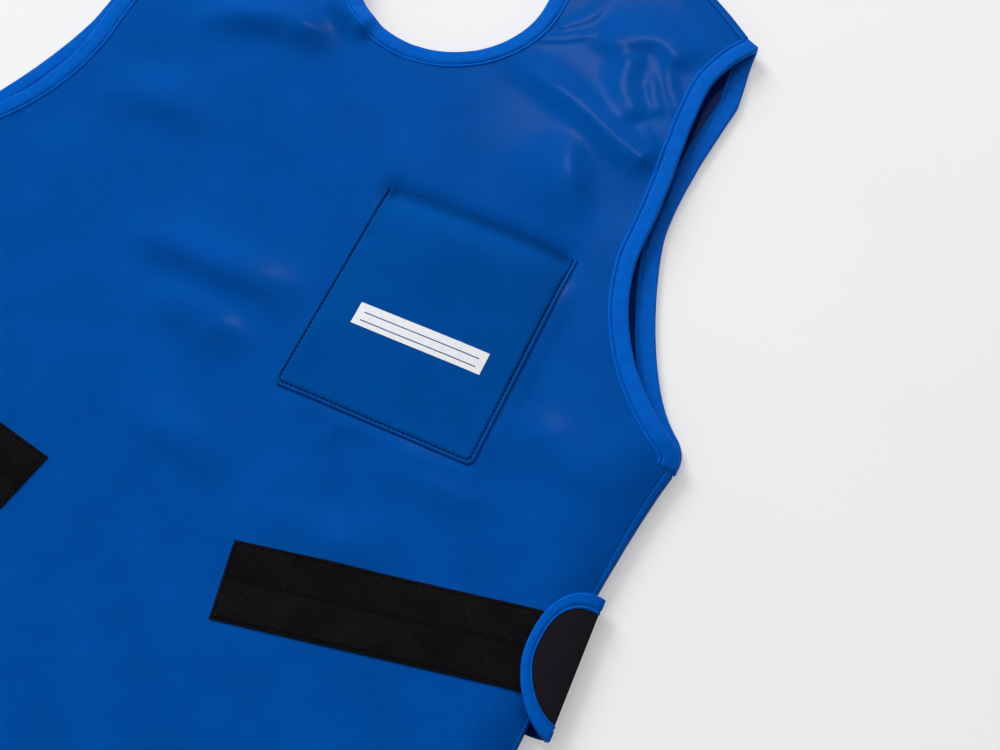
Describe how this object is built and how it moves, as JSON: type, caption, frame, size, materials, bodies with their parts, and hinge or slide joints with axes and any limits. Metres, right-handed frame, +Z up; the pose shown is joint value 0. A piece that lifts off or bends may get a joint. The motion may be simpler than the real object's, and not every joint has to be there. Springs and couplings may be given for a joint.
{
  "type": "lead apron",
  "caption": "Sleeveless double-sided lead apron lying flat: bound neck and armholes, chest pocket, and a wide waist belt whose rounded tabs hook onto the front.",
  "frame": {"origin": "middle of the apron's box, on the surface that it lies on", "axes": "+Z up out of the front panel, +Y towards the head, +X towards the wearer's left"},
  "size_m": [0.6118, 1.0003, 0.0222],
  "materials": {
    "shell": "satin",
    "lining": "satin",
    "binding": "satin",
    "lead_rubber": "matte",
    "loop_tape": "matte",
    "hook_tape": "matte",
    "belt": "matte",
    "seam": "satin",
    "pocket": "satin",
    "thread": "matte",
    "print": "matte"
  },
  "bodies": {
    "garment": {"front_shell": "shell", "front_lead_outer": "lead_rubber", "front_lead_inner": "lead_rubber", "front_lining": "lining", "back_shell": "shell", "back_lead": "lead_rubber", "back_lining": "lining", "neck_binding": "binding", "left_armhole_binding": "binding", "right_armhole_binding": "binding", "front_hem_binding": "binding", "back_hem_binding": "binding", "left_side_seam": "seam", "right_side_seam": "seam", "left_shoulder_seam": "seam", "right_shoulder_seam": "seam", "chest_pocket": "pocket", "left_loop_tape_upper": "loop_tape", "left_loop_tape_lower": "loop_tape", "right_loop_tape_upper": "loop_tape", "right_loop_tape_lower": "loop_tape", "waist_belt": "belt", "waist_belt_lining": "lining"},
    "left_bend": {"left_bend": "belt", "left_bend_lining": "lining"},
    "left_tab": {"left_tab": "belt", "left_tab_lining": "lining", "left_tab_binding": "binding", "left_hook_tape": "hook_tape"},
    "right_bend": {"right_bend": "belt", "right_bend_lining": "lining"},
    "right_tab": {"right_tab": "belt", "right_tab_lining": "lining", "right_tab_binding": "binding", "right_hook_tape": "hook_tape"}
  },
  "joints": [
    {"name": "left_low_fold", "type": "hinge", "parent": "garment", "child": "left_bend", "pos_m": [0.301, -0.054, 0.0006], "axis": [0, 1, 0], "range_deg": [0, 85]},
    {"name": "left_high_fold", "type": "hinge", "parent": "left_bend", "child": "left_tab", "pos_m": [0.301, -0.054, 0.0157], "axis": [0, 1, 0], "range_deg": [0, 85]},
    {"name": "right_low_fold", "type": "hinge", "parent": "garment", "child": "right_bend", "pos_m": [-0.301, -0.054, 0.0006], "axis": [0, -1, 0], "range_deg": [0, 85]},
    {"name": "right_high_fold", "type": "hinge", "parent": "right_bend", "child": "right_tab", "pos_m": [-0.301, -0.054, 0.0157], "axis": [0, -1, 0], "range_deg": [0, 85]}
  ],
  "couplings": [
    {"joint": "left_high_fold", "follows": "left_low_fold", "ratio": 1},
    {"joint": "right_high_fold", "follows": "right_low_fold", "ratio": 1}
  ]
}
